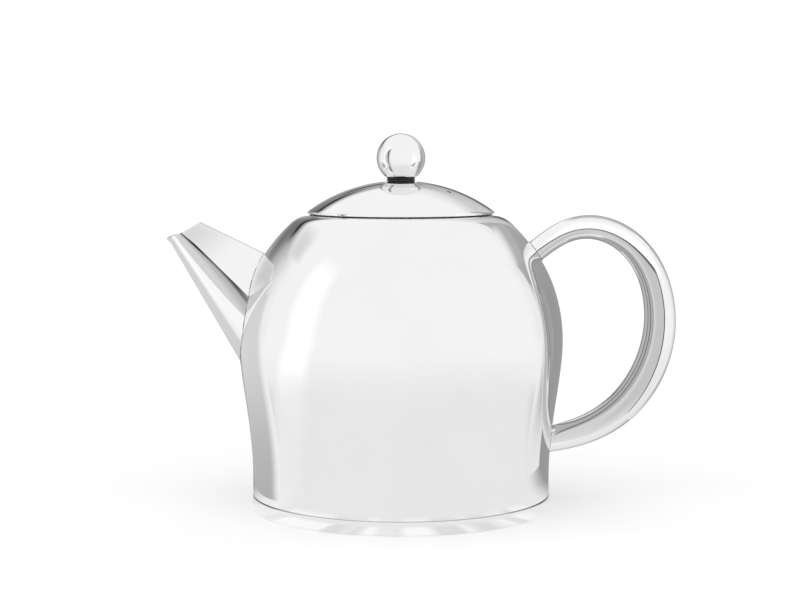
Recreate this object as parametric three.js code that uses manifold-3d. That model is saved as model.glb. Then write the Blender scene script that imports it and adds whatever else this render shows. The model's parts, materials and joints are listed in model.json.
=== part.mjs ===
// A one-litre double-walled steel teapot with a lift-out infuser and a loose, knobbed lid.
// Millimetres, +Z up, origin at the centre of the base. The handle is at +X and the spout at -X.

import * as THREE from "three";
import { mergeVertices } from "three/addons/utils/BufferGeometryUtils.js";
import Module from "manifold-3d";

// Body: a gently swelling barrel under a half-round top.
const BODY_R = 69; // widest radius, and the radius of the round top
const BELLY_Z = 71.5; // height of the widest circle and centre of the round top
const FOOT_R = 63.4; // radius of the straight foot of the barrel
const FOOT_TOP_Z = 14; // where the foot starts to swell
const SHOULDER_R = 48; // where the round top bends over to the flat shoulder
const SHOULDER_Z = 125.3; // flat shoulder that the lid covers
const WALL = 0.8; // sheet thickness of every pressed part
const GAP = 0.3; // clearance between parts that touch or are welded

// Base cap, whose band wraps the joggled lower edge of the outer shell.
const BAND_R = 63.6;
const BAND_H = 5.5;
const PLATE_T = 1.2;
const GROOVE_IN_R = 50;
const GROOVE_OUT_R = 53;
const GROOVE_DEPTH = 0.5;

// Inner vessel, set in from the outer wall by the insulating gap.
const VESSEL_INSET = 8.2;
const VESSEL_FLOOR_Z = 7.2;
const NECK_R = 35;
const SEAT_R = 37; // recess in the neck that carries the infuser's flange
const SEAT_Z = 123.2;

// Duct from the inner vessel to the spout.
const DUCT_R = 9;
const DUCT_Z = 83;
const DUCT_X = [-69.6, -56.5];

// Spout: two flat facets from the ridge to the side creases, over a rounded lower cone.
const SPOUT_ROOT = { ridge: [-58.7, 108.7], crease: [-63.6, 91.6], keel: [-68.9, 63], creaseHalfWidth: 17.8 };
const SPOUT_BEND = { ridge: [-84.4, 121.4], crease: [-90.7, 116.9], keel: [-97.8, 112.8], creaseHalfWidth: 9 };
const SPOUT_LIP = { ridge: [-85.2, 121.8], crease: [-91.7, 117.9], keel: [-99.8, 114.9], creaseHalfWidth: 8.8 };
const SPOUT_SIDE_STEPS = 3; // along a facet
const SPOUT_ROUND_STEPS = 8; // from crease to crease round the keel
const SPOUT_ROOT_REACH = 0.35; // how far the walls run on into the body before they are trimmed

// Handle: centre line in the XZ plane, from the upper root to the lower root.
const HANDLE_LINE = [
  [50.5, 103.5], [60.5, 111.8], [70, 117.7], [79.5, 119.7], [91.5, 116.7], [103, 106.5], [109.5, 91],
  [110.3, 74], [105, 56.5], [93.5, 41.5], [79.5, 32.9], [65.5, 28.9], [54, 27],
];
const HANDLE_UPPER_R = 4.6;
const HANDLE_LOWER_R = 5.4;
const HANDLE_SWELL = 2; // added at the grip
const HANDLE_WALL = 1;
const HANDLE_SIDES = 12;
const HANDLE_STEPS = 26;

// Infuser: a slotted cup that hangs from a flanged rim.
const CUP_R = 32.7;
const CUP_WALL = 0.6;
const CUP_Z = [40.4, 112];
const RIM_R = 33.8;
const RIM_LOW_Z = 108;
const FLANGE_R = 36.7;
const FLANGE_TOP_Z = SEAT_Z + GAP + WALL;
const CAP_LOW_Z = 39.2;
const CAP_TOP_Z = 44.4;
const SLOT_COLUMNS = 16;
const SLOT_ROWS = 3;
const SLOT_W = 1.1;
const SLOT_H = 16;
const SLOT_PITCH_Z = 20;

// Lid: a shallow dome with a rolled edge, a small flat for the knob, and a welded locating ring.
const LID_R = 68; // radius of the dome's outer face
const LID_CENTRE_Z = 71.6;
const LID_EDGE_R = 39.9;
const LID_FLAT_R = 7.5;
const VENT_R = 0.9;
const VENT_REACH = 24.5;
const VENT_ANGLE = THREE.MathUtils.degToRad(-35);
const RING_R = 32.5;
const RING_LOW_Z = 117;
const RING_FLANGE_R = 38;

// Knob: a ball on a grooved washer, held by a screw from inside the lid.
const BALL_R = 10.45;
const BALL_Z = 148.95;
const BALL_FLAT_Z = 141.1;
const SCREW_R = 2;
const SCREW_HOLE_R = SCREW_R + GAP;
const SCREW_TOP_Z = 148;
const SCREW_HEAD_R = 4;
const SCREW_HEAD_Z = [134.9, 137.2];
const STEEL_WASHER_R = 5;
const STEEL_WASHER_Z = [137.5, 138.05];
const KNOB_WASHER_R = 6.15;

const ROUND = 40; // facets round the large turned parts
const SMALL_ROUND = 24; // facets round the knob and the screw

const wasm = await Module();
wasm.setup();

const point = (r, z) => new THREE.Vector2(r, z);

// Height of a circle of radius r, centred on the axis at centreZ, at distance x from the axis.
const heightOnArc = (r, centreZ, x) => centreZ + Math.sqrt(r * r - x * x);

// Points of a circle centred on the axis, from distance fromX to distance toX.
function arc(r, centreZ, fromX, toX, steps) {
  const from = Math.acos(fromX / r);
  const to = Math.acos(toX / r);
  return Array.from({ length: steps + 1 }, (_, i) => {
    const angle = from + ((to - from) * i) / steps;
    return point(r * Math.cos(angle), centreZ + r * Math.sin(angle));
  });
}

// A profile of (radius, height) points turned about +Z, closed where it doesn't start on the axis.
function turned(profile, segments) {
  const onAxis = profile[0].x === 0 && profile.at(-1).x === 0;
  const points = onAxis ? profile : [...profile, profile[0].clone()];
  return new THREE.LatheGeometry(points, segments).rotateX(Math.PI / 2);
}

function toSolid(geometry) {
  const bare = geometry.clone();
  bare.deleteAttribute("normal");
  bare.deleteAttribute("uv");
  const merged = mergeVertices(bare, 1e-3);
  return new wasm.Manifold(
    new wasm.Mesh({
      numProp: 3,
      vertProperties: merged.attributes.position.array,
      triVerts: new Uint32Array(merged.index.array),
    }),
  );
}

function toGeometry(solid) {
  const mesh = solid.getMesh();
  const geometry = new THREE.BufferGeometry();
  geometry.setAttribute("position", new THREE.BufferAttribute(mesh.vertProperties, 3));
  geometry.setIndex(new THREE.BufferAttribute(mesh.triVerts, 1));
  geometry.computeVertexNormals();
  return geometry;
}

// A ring-shaped skin through rings of points: the last ring joins the first one.
function ringLoft(rings) {
  const count = rings[0].length;
  const positions = rings.flat().flatMap((p) => [p.x, p.y, p.z]);
  const index = [];
  for (let i = 0; i < rings.length; i++) {
    for (let j = 0; j < count; j++) {
      const next = (i + 1) % rings.length;
      const a = i * count + j;
      const b = i * count + ((j + 1) % count);
      const c = next * count + ((j + 1) % count);
      const d = next * count + j;
      index.push(a, b, c, a, c, d);
    }
  }
  const geometry = new THREE.BufferGeometry();
  geometry.setAttribute("position", new THREE.Float32BufferAttribute(positions, 3));
  geometry.setIndex(index);
  geometry.computeVertexNormals();
  return geometry;
}

// The body's wall from its foot to the round top at endR, moved in by inset.
function bodyWall(inset, endR, steps) {
  const barrel = new THREE.CubicBezierCurve(
    point(FOOT_R - inset, FOOT_TOP_Z),
    point(FOOT_R - inset, 36),
    point(BODY_R - inset, 56),
    point(BODY_R - inset, BELLY_Z),
  ).getPoints(steps);
  const top = arc(BODY_R - inset, BELLY_Z, BODY_R - inset, endR, steps);
  return [...barrel, ...top.slice(1)];
}

// The bend from the round top to the flat shoulder, ending at endR.
function shoulder(inset, startR, endR, steps) {
  const start = point(startR, heightOnArc(BODY_R - inset, BELLY_Z, startR));
  const slope = Math.acos(startR / (BODY_R - inset));
  const rise = SHOULDER_Z - inset - start.y;
  const corner = point(startR - rise * Math.tan(slope), SHOULDER_Z - inset);
  return new THREE.QuadraticBezierCurve(start, corner, point(endR, SHOULDER_Z - inset)).getPoints(steps);
}

// Everything inside the outer face of the body, with room for a weld round what meets it.
function bodyEnvelope() {
  const wall = bodyWall(-GAP, SHOULDER_R, 8);
  return toSolid(
    turned([point(0, 0), point(FOOT_R + GAP, 0), ...wall, point(0, SHOULDER_Z)], ROUND),
  );
}

function ductBore(radius) {
  const length = 40;
  const bore = new THREE.CylinderGeometry(radius, radius, length, SMALL_ROUND);
  bore.rotateZ(Math.PI / 2).translate(-60, 0, DUCT_Z);
  return toSolid(bore);
}

function outerShell() {
  const holeR = SEAT_R + WALL + GAP;
  const joggleR = BAND_R - WALL - GAP;
  const lowZ = PLATE_T + GAP;
  const joggleZ = BAND_H + GAP;
  const outside = [
    point(joggleR, lowZ),
    point(joggleR, joggleZ),
    point(FOOT_R, joggleZ + 0.3),
    ...bodyWall(0, SHOULDER_R, 7),
    ...shoulder(0, SHOULDER_R, holeR, 4).slice(1),
  ];
  const inside = [
    point(joggleR - WALL, lowZ),
    point(joggleR - WALL, joggleZ + 0.4),
    point(FOOT_R - WALL, joggleZ + 0.7),
    ...bodyWall(WALL, SHOULDER_R - WALL, 5),
    ...shoulder(WALL, SHOULDER_R - WALL, holeR, 2).slice(1),
  ];
  const shell = toSolid(turned([...outside, ...inside.reverse()], ROUND));
  return toGeometry(shell.subtract(ductBore(DUCT_R + GAP)));
}

function baseCap() {
  const bandInR = BAND_R - WALL;
  const profile = [
    point(0, 0),
    point(GROOVE_IN_R, 0),
    point(GROOVE_IN_R + 0.4, GROOVE_DEPTH),
    point(GROOVE_OUT_R - 0.4, GROOVE_DEPTH),
    point(GROOVE_OUT_R, 0),
    point(BAND_R - 1.1, 0),
    point(BAND_R - 0.3, 0.4),
    point(BAND_R, 1.2),
    point(BAND_R, BAND_H - 0.2),
    point(BAND_R - 0.2, BAND_H),
    point(bandInR, BAND_H),
    point(bandInR, PLATE_T),
    point(0, PLATE_T),
  ];
  return turned(profile, ROUND);
}

function innerVessel() {
  const outerTopR = NECK_R + WALL;
  const cornerR = FOOT_TOP_Z - VESSEL_FLOOR_Z;
  // The rounded corner between the floor and the wall, for a face moved in by inset.
  const corner = (inset) => {
    const wallR = FOOT_R - inset;
    const floorZ = VESSEL_FLOOR_Z + inset - VESSEL_INSET;
    const flatR = FOOT_R - VESSEL_INSET - cornerR;
    return [-90, -45].map((degrees) => {
      const angle = THREE.MathUtils.degToRad(degrees);
      return point(
        flatR + (wallR - flatR) * Math.cos(angle),
        FOOT_TOP_Z + (FOOT_TOP_Z - floorZ) * Math.sin(angle),
      );
    });
  };
  const outside = [
    point(0, VESSEL_FLOOR_Z),
    ...corner(VESSEL_INSET),
    ...bodyWall(VESSEL_INSET, outerTopR, 5),
    point(outerTopR, SEAT_Z - WALL),
    point(SEAT_R + WALL, SEAT_Z - WALL),
    point(SEAT_R + WALL, SHOULDER_Z),
  ];
  const inside = [
    point(0, VESSEL_FLOOR_Z + WALL),
    ...corner(VESSEL_INSET + WALL),
    ...bodyWall(VESSEL_INSET + WALL, NECK_R, 5),
    point(NECK_R, SEAT_Z),
    point(SEAT_R, SEAT_Z),
    point(SEAT_R, SHOULDER_Z),
  ];
  const vessel = toSolid(turned([...outside, ...inside.reverse()], ROUND));
  return toGeometry(vessel.subtract(ductBore(DUCT_R + GAP)));
}

function spoutDuct() {
  const profile = [
    point(DUCT_R - WALL, DUCT_X[0]),
    point(DUCT_R, DUCT_X[0]),
    point(DUCT_R, DUCT_X[1]),
    point(DUCT_R - WALL, DUCT_X[1]),
  ];
  return turned(profile, SMALL_ROUND).rotateY(Math.PI / 2).translate(0, 0, DUCT_Z);
}

// One cross-section of the spout: down one facet, round the keel and up the other facet.
function spoutRing({ ridge, crease, keel, creaseHalfWidth }) {
  const top = new THREE.Vector3(ridge[0], 0, ridge[1]);
  const side = new THREE.Vector3(crease[0], creaseHalfWidth, crease[1]);
  const bottom = new THREE.Vector3(keel[0], 0, keel[1]);
  const creaseAngle = THREE.MathUtils.degToRad(25);
  // The lower part is half an ellipse whose centre lies a little below the crease.
  const mid = new THREE.Vector3(crease[0], 0, crease[1]);
  const sink = Math.sin(creaseAngle) / (1 + Math.sin(creaseAngle));
  const centre = mid.clone().lerp(bottom, sink);
  const down = bottom.clone().sub(centre);
  const halfWidth = creaseHalfWidth / Math.cos(creaseAngle);
  const ring = [];
  for (let i = 0; i < SPOUT_SIDE_STEPS; i++) ring.push(top.clone().lerp(side, i / SPOUT_SIDE_STEPS));
  for (let i = 0; i <= SPOUT_ROUND_STEPS; i++) {
    const angle = -creaseAngle + ((Math.PI + 2 * creaseAngle) * i) / SPOUT_ROUND_STEPS;
    const across = halfWidth * Math.cos(angle);
    ring.push(centre.clone().addScaledVector(down, Math.sin(angle)).setY(across));
  }
  side.y = -creaseHalfWidth;
  for (let i = 1; i < SPOUT_SIDE_STEPS; i++) ring.push(side.clone().lerp(top, i / SPOUT_SIDE_STEPS));
  return ring;
}

// A ring of points moved in by distance, square to its own edge and in its own plane.
function insetRing(ring, distance) {
  const centre = ring.reduce((sum, p) => sum.add(p), new THREE.Vector3()).divideScalar(ring.length);
  const axis = new THREE.Vector3();
  ring.forEach((p, i) => {
    const next = ring[(i + 1) % ring.length];
    axis.add(p.clone().sub(centre).cross(next.clone().sub(centre)));
  });
  axis.normalize();
  return ring.map((p, i) => {
    const before = ring.at(i - 1);
    const after = ring[(i + 1) % ring.length];
    const inward = axis.clone().cross(after.clone().sub(before)).normalize();
    return p.clone().addScaledVector(inward, distance);
  });
}

function spoutShell(envelope) {
  const root = spoutRing(SPOUT_ROOT);
  const bend = spoutRing(SPOUT_BEND);
  const lip = spoutRing(SPOUT_LIP);
  const deep = root.map((p, i) => p.clone().lerp(bend[i], -SPOUT_ROOT_REACH));
  const outside = [deep, root, bend, lip];
  const inside = outside.map((ring) => insetRing(ring, WALL)).reverse();
  const tube = toSolid(ringLoft([...outside, ...inside]));
  return toGeometry(tube.subtract(envelope));
}

function handleRadius(t) {
  const swell = Math.sin(Math.PI * Math.pow(t, 1.4)) ** 1.5;
  return HANDLE_UPPER_R + (HANDLE_LOWER_R - HANDLE_UPPER_R) * t + HANDLE_SWELL * swell;
}

function handleTube(envelope) {
  const line = new THREE.CatmullRomCurve3(HANDLE_LINE.map(([x, z]) => new THREE.Vector3(x, 0, z)));
  const across = new THREE.Vector3(0, 1, 0);
  // A circle about the centre line at fraction t of its length.
  const ringAt = (t, thinner) => {
    const centre = line.getPointAt(t);
    const inward = across.clone().cross(line.getTangentAt(t));
    const radius = handleRadius(t) - thinner;
    return Array.from({ length: HANDLE_SIDES }, (_, j) => {
      const angle = (2 * Math.PI * j) / HANDLE_SIDES;
      return centre
        .clone()
        .addScaledVector(inward, radius * Math.cos(angle))
        .addScaledVector(across, radius * Math.sin(angle));
    });
  };
  const steps = Array.from({ length: HANDLE_STEPS + 1 }, (_, i) => i / HANDLE_STEPS);
  const outside = steps.map((t) => ringAt(t, 0));
  const inside = steps.map((t) => ringAt(t, HANDLE_WALL)).reverse();
  return toGeometry(toSolid(ringLoft([...outside, ...inside])).subtract(envelope));
}

function infuserRim() {
  const innerR = RIM_R - WALL;
  const profile = [
    point(innerR, RIM_LOW_Z),
    point(RIM_R, RIM_LOW_Z),
    point(RIM_R, FLANGE_TOP_Z - WALL),
    point(FLANGE_R, FLANGE_TOP_Z - WALL),
    point(FLANGE_R, FLANGE_TOP_Z),
    point(innerR + 0.3, FLANGE_TOP_Z),
    point(innerR, FLANGE_TOP_Z - 0.3),
  ];
  return turned(profile, ROUND);
}

function infuserCup() {
  const [lowZ, topZ] = CUP_Z;
  const profile = [
    point(CUP_R - CUP_WALL, lowZ),
    point(CUP_R, lowZ),
    point(CUP_R, topZ),
    point(CUP_R - CUP_WALL, topZ),
  ];
  // One box across the whole cup cuts two opposite slots.
  const bars = [];
  const firstZ = (lowZ + topZ) / 2 - ((SLOT_ROWS - 1) * SLOT_PITCH_Z) / 2;
  for (let row = 0; row < SLOT_ROWS; row++) {
    for (let column = 0; column < SLOT_COLUMNS / 2; column++) {
      const bar = new THREE.BoxGeometry(3 * CUP_R, SLOT_W, SLOT_H);
      bar.rotateZ((2 * Math.PI * (column + 0.5)) / SLOT_COLUMNS);
      bar.translate(0, 0, firstZ + row * SLOT_PITCH_Z);
      bars.push(toSolid(bar));
    }
  }
  const cup = toSolid(turned(profile, 2 * SLOT_COLUMNS));
  return toGeometry(bars.reduce((solid, bar) => solid.subtract(bar), cup));
}

function infuserCap() {
  const innerR = RIM_R - WALL;
  const profile = [
    point(0, CAP_LOW_Z),
    point(RIM_R - 1, CAP_LOW_Z),
    point(RIM_R, CAP_LOW_Z + 1),
    point(RIM_R, CAP_TOP_Z),
    point(innerR, CAP_TOP_Z),
    point(innerR, CAP_LOW_Z + WALL),
    point(0, CAP_LOW_Z + WALL),
  ];
  return turned(profile, ROUND);
}

function lidDome() {
  const underR = LID_R - WALL;
  const flatTopZ = heightOnArc(LID_R, LID_CENTRE_Z, LID_FLAT_R);
  const edgeZ = SHOULDER_Z + GAP;
  const profile = [
    point(SCREW_HOLE_R, flatTopZ - WALL),
    point(LID_FLAT_R, flatTopZ - WALL),
    ...arc(underR, LID_CENTRE_Z, LID_FLAT_R + 1, LID_EDGE_R - 1.2, 4),
    point(LID_EDGE_R - 1.2, edgeZ),
    point(LID_EDGE_R - 0.3, edgeZ),
    point(LID_EDGE_R, edgeZ + 0.4),
    point(LID_EDGE_R, edgeZ + 0.8),
    ...arc(LID_R, LID_CENTRE_Z, LID_EDGE_R - 0.6, LID_FLAT_R, 5),
    point(SCREW_HOLE_R, flatTopZ),
  ];
  const vent = new THREE.CylinderGeometry(VENT_R, VENT_R, 12, 8);
  vent.rotateX(Math.PI / 2);
  vent.translate(VENT_REACH * Math.cos(VENT_ANGLE), VENT_REACH * Math.sin(VENT_ANGLE), 135);
  return toGeometry(toSolid(turned(profile, ROUND)).subtract(toSolid(vent)));
}

function lidRing() {
  const outerFaceR = LID_R - WALL - GAP;
  const innerFaceR = outerFaceR - WALL;
  const innerR = RING_R - WALL;
  const profile = [
    point(innerR, RING_LOW_Z),
    point(RING_R, RING_LOW_Z),
    ...arc(innerFaceR, LID_CENTRE_Z, RING_R, RING_FLANGE_R - 0.3, 3),
    ...arc(outerFaceR, LID_CENTRE_Z, RING_FLANGE_R, innerR, 3),
  ];
  return turned(profile, ROUND);
}

function knobBall() {
  const flatR = Math.sqrt(BALL_R ** 2 - (BALL_Z - BALL_FLAT_Z) ** 2);
  const from = Math.atan2(BALL_FLAT_Z - BALL_Z, flatR);
  const steps = 14;
  const ball = [];
  for (let i = 0; i < steps; i++) {
    const angle = from + ((Math.PI / 2 - from) * i) / steps;
    ball.push(point(BALL_R * Math.cos(angle), BALL_Z + BALL_R * Math.sin(angle)));
  }
  const boreTopZ = SCREW_TOP_Z + 2 * GAP;
  const profile = [
    point(0, boreTopZ),
    point(SCREW_HOLE_R, boreTopZ),
    point(SCREW_HOLE_R, BALL_FLAT_Z),
    ...ball,
    point(0, BALL_Z + BALL_R),
  ];
  return turned(profile, SMALL_ROUND);
}

// The washer has two rounded beads with a groove between them.
function knobWasher() {
  const lowZ = heightOnArc(LID_R, LID_CENTRE_Z, LID_FLAT_R) + GAP;
  const topZ = BALL_FLAT_Z - GAP;
  const bead = (topZ - lowZ) / 2;
  const edge = 0.25;
  const profile = [
    point(SCREW_HOLE_R, lowZ),
    point(KNOB_WASHER_R - edge, lowZ),
    point(KNOB_WASHER_R, lowZ + bead / 2),
    point(KNOB_WASHER_R - edge, lowZ + bead),
    point(KNOB_WASHER_R, lowZ + 1.5 * bead),
    point(KNOB_WASHER_R - edge, topZ),
    point(SCREW_HOLE_R, topZ),
  ];
  return turned(profile, SMALL_ROUND);
}

function steelWasher() {
  const [lowZ, topZ] = STEEL_WASHER_Z;
  const profile = [
    point(SCREW_HOLE_R, lowZ),
    point(STEEL_WASHER_R, lowZ),
    point(STEEL_WASHER_R, topZ),
    point(SCREW_HOLE_R, topZ),
  ];
  return turned(profile, SMALL_ROUND);
}

function knobScrew() {
  const [headLowZ, headTopZ] = SCREW_HEAD_Z;
  const profile = [
    point(0, headLowZ),
    point(SCREW_HEAD_R - 0.8, headLowZ),
    point(SCREW_HEAD_R, headLowZ + 0.8),
    point(SCREW_HEAD_R, headTopZ),
    point(SCREW_R, headTopZ),
    point(SCREW_R, SCREW_TOP_Z - 0.5),
    point(SCREW_R - 0.5, SCREW_TOP_Z),
    point(0, SCREW_TOP_Z),
  ];
  return turned(profile, SMALL_ROUND);
}

const polishedSteel = () => new THREE.MeshStandardMaterial({ color: 0xdcdddd, roughness: 0.08, metalness: 1 });
const satinSteel = () => new THREE.MeshStandardMaterial({ color: 0xc2c3c4, roughness: 0.35, metalness: 1 });
const blackSilicone = () => new THREE.MeshStandardMaterial({ color: 0x1c1c1d, roughness: 0.6, metalness: 0 });

function node(name, geometry, material) {
  const mesh = new THREE.Mesh(geometry, material);
  mesh.name = name;
  return mesh;
}

const envelope = bodyEnvelope();

const pot = new THREE.Group();
pot.add(
  node("outer_shell", outerShell(), polishedSteel()),
  node("base_cap", baseCap(), polishedSteel()),
  node("inner_vessel", innerVessel(), satinSteel()),
  node("spout_duct", spoutDuct(), satinSteel()),
  node("spout_shell", spoutShell(envelope), polishedSteel()),
  node("handle_tube", handleTube(envelope), polishedSteel()),
);

const infuser = new THREE.Group();
infuser.add(
  node("infuser_rim", infuserRim(), satinSteel()),
  node("infuser_cup", infuserCup(), satinSteel()),
  node("infuser_cap", infuserCap(), satinSteel()),
);

const lid = new THREE.Group();
lid.add(
  node("lid_dome", lidDome(), polishedSteel()),
  node("lid_ring", lidRing(), satinSteel()),
  node("knob_ball", knobBall(), polishedSteel()),
  node("knob_washer", knobWasher(), blackSilicone()),
  node("steel_washer", steelWasher(), satinSteel()),
  node("knob_screw", knobScrew(), satinSteel()),
);

const teapot = new THREE.Group();
teapot.add(pot, infuser, lid);

export default teapot;
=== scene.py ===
"""A polished steel teapot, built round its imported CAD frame.

Shapes are worked out in millimetres and written to meshes in metres. The handle is at +X and the
spout at -X; the camera looks along +Y.
"""

import json
import math

import bmesh
import bpy
import numpy as np
from mathutils import Matrix, Vector

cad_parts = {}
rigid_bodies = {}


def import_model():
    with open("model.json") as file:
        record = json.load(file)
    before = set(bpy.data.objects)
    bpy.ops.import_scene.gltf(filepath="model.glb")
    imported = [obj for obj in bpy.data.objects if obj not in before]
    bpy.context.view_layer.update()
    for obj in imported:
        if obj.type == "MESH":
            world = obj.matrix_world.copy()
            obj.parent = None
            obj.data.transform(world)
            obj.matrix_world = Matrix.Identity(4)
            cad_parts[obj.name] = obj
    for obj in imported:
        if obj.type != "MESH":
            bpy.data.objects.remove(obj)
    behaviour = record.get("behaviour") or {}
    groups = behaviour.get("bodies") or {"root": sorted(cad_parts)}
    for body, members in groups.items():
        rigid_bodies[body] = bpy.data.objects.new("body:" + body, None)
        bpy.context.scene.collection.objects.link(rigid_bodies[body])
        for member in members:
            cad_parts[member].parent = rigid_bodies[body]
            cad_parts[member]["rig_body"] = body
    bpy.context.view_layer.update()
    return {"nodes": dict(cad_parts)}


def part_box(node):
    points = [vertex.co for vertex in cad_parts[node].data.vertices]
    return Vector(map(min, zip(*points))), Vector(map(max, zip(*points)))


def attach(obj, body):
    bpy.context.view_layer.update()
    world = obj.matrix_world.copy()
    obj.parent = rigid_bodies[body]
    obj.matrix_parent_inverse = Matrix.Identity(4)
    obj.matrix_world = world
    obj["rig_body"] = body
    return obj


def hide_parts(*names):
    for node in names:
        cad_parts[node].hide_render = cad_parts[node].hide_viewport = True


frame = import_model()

MM = 0.001


def size_of(node):
    """(radius or half width along Y, lowest z, highest z) of a CAD node, in mm."""
    low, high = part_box(node)
    return (high.y - low.y) / 2 / MM, low.z / MM, high.z / MM


# Sizes read from the frame, in mm.
BODY_R, _, SHOULDER_Z = size_of("outer_shell")
BAND_R, _, BAND_H = size_of("base_cap")
LID_EDGE_R, LID_LOW_Z, LID_TOP_Z = size_of("lid_dome")
BALL_R, BALL_FLAT_Z, BALL_TOP_Z = size_of("knob_ball")
KNOB_WASHER_R, _, _ = size_of("knob_washer")
STEEL_WASHER_R, STEEL_WASHER_LOW_Z, STEEL_WASHER_TOP_Z = size_of("steel_washer")
SCREW_HEAD_R, SCREW_LOW_Z, SCREW_TOP_Z = size_of("knob_screw")
FLANGE_R, RIM_LOW_Z, FLANGE_TOP_Z = size_of("infuser_rim")
CUP_R, CUP_LOW_Z, CUP_TOP_Z = size_of("infuser_cup")
RIM_R, CAP_LOW_Z, CAP_TOP_Z = size_of("infuser_cap")
RING_FLANGE_R, RING_LOW_Z, _ = size_of("lid_ring")
DUCT_R, DUCT_LOW_Z, DUCT_TOP_Z = size_of("spout_duct")

# Shape values that a box doesn't give, as in the CAD source.
WALL = 0.8
GAP = 0.3
BELLY_Z = 71.5
FOOT_R = 63.4
FOOT_TOP_Z = 14
SHOULDER_R = 48
PLATE_T = 1.2
GROOVE = (50, 53, 0.5)
VESSEL_INSET = 8.2
VESSEL_FLOOR_Z = 7.2
NECK_R = 35
SEAT_R = 37
SEAT_Z = 123.2
LID_R = 68
LID_CENTRE_Z = 71.6
LID_FLAT_R = 7.5
VENT_R = 0.9
VENT_PLACE = (24.5, -35)  # reach from the axis, and degrees from +X
RING_R = 32.5
BALL_Z = BALL_TOP_Z - BALL_R
SCREW_R = 2
CUP_WALL = 0.6

SPOUT_ROOT = {"ridge": (-58.7, 108.7), "crease": (-63.6, 91.6), "keel": (-68.9, 63), "half": 17.8}
SPOUT_BEND = {"ridge": (-84.4, 121.4), "crease": (-90.7, 116.9), "keel": (-97.8, 112.8), "half": 9}
SPOUT_LIP = {"ridge": (-85.2, 121.8), "crease": (-91.7, 117.9), "keel": (-99.8, 114.9), "half": 8.8}

HANDLE_LINE = [
    (50.5, 103.5), (60.5, 111.8), (70, 117.7), (79.5, 119.7), (91.5, 116.7), (103, 106.5), (109.5, 91),
    (110.3, 74), (105, 56.5), (93.5, 41.5), (79.5, 32.9), (65.5, 28.9), (54, 27),
]
HANDLE_UPPER_R = 4.6
HANDLE_LOWER_R = 5.4
HANDLE_SWELL = 1.9
HANDLE_WALL = 1.0

WELD_R = 0.5  # half width of the weld beads
SINK = 0.35  # how far the spout's and handle's ends sink into the body's wall
ROUND = 192  # facets round a large turned piece
FINE_ROUND = 256  # facets round the largest, most polished pieces


# ---------------------------------------------------------------- mesh helpers


def make_piece(name, vertices, faces, material, crease_deg=32):
    """An object from points in mm, shaded smooth except where it bends by more than crease_deg."""
    mesh = bpy.data.meshes.new(name)
    points = [tuple(c * MM for c in v) for v in vertices]
    mesh.from_pydata(points, [], faces)
    mesh.validate()
    mesh.polygons.foreach_set("use_smooth", [True] * len(mesh.polygons))
    mesh.set_sharp_from_angle(angle=math.radians(crease_deg))
    mesh.materials.append(material)
    piece = bpy.data.objects.new(name, mesh)
    bpy.context.scene.collection.objects.link(piece)
    return piece


def stand_for(piece, node):
    """The piece rides on its node's body and replaces it."""
    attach(piece, frame["nodes"][node]["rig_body"])
    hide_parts(node)
    return piece


def fillet(profile, closed):
    """Rounds each corner that has a third number, its radius."""
    points = []
    count = len(profile)
    for i, corner in enumerate(profile):
        here = Vector(corner[:2])
        ends = not closed and i in (0, count - 1)
        if len(corner) < 3 or ends:
            points.append(tuple(here))
            continue
        before = (Vector(profile[i - 1][:2]) - here).normalized()
        after = (Vector(profile[(i + 1) % count][:2]) - here).normalized()
        half = before.angle(after) / 2
        reach = corner[2] / math.tan(half)
        start = here + before * reach
        end = here + after * reach
        centre = here + (before + after).normalized() * corner[2] / math.sin(half)
        turn = (start - centre).angle_signed(end - centre)
        steps = 6
        for k in range(steps + 1):
            arm = start - centre
            angle = -turn * k / steps
            cos, sin = math.cos(angle), math.sin(angle)
            points.append((centre.x + arm.x * cos - arm.y * sin, centre.y + arm.x * sin + arm.y * cos))
    return points


def turned(name, profile, material, segments=ROUND, crease_deg=32):
    """A profile of (radius, height[, corner radius]) turned about +Z, closed where it leaves the axis."""
    closed = not (profile[0][0] == 0 and profile[-1][0] == 0)
    points = fillet(profile, closed)
    vertices, rings = [], []
    for radius, z in points:
        if radius == 0:
            rings.append([len(vertices)] * segments)
            vertices.append((0, 0, z))
            continue
        first = len(vertices)
        rings.append([first + k for k in range(segments)])
        for k in range(segments):
            angle = 2 * math.pi * k / segments
            vertices.append((radius * math.cos(angle), radius * math.sin(angle), z))
    faces = []
    pairs = list(zip(rings, rings[1:])) + ([(rings[-1], rings[0])] if closed else [])
    for low, high in pairs:
        for k in range(segments):
            n = (k + 1) % segments
            face = [low[k], low[n], high[n], high[k]]
            face = [v for i, v in enumerate(face) if v != face[i - 1]]
            if len(face) > 2:
                faces.append(face)
    return make_piece(name, vertices, faces, material, crease_deg)


def ring_skin(rings):
    """Vertices and faces of a closed skin through rings of points; the last ring joins the first."""
    count = len(rings[0])
    vertices = [tuple(p) for ring in rings for p in ring]
    faces = []
    for i in range(len(rings)):
        n = (i + 1) % len(rings)
        for j in range(count):
            m = (j + 1) % count
            faces.append((i * count + j, i * count + m, n * count + m, n * count + j))
    return vertices, faces


def cut(piece, cutter, edge=None):
    """Takes cutter out of piece and deletes it; edge is the material of the cut faces."""
    modifier = piece.modifiers.new("cut", "BOOLEAN")
    modifier.operation = "DIFFERENCE"
    modifier.solver = "EXACT"
    modifier.object = cutter
    if edge:
        cutter.data.materials.append(edge)
        modifier.material_mode = "TRANSFER"
    evaluated = piece.evaluated_get(bpy.context.evaluated_depsgraph_get())
    mesh = bpy.data.meshes.new_from_object(evaluated)
    piece.modifiers.clear()
    piece.data = mesh
    bpy.data.objects.remove(cutter)


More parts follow.
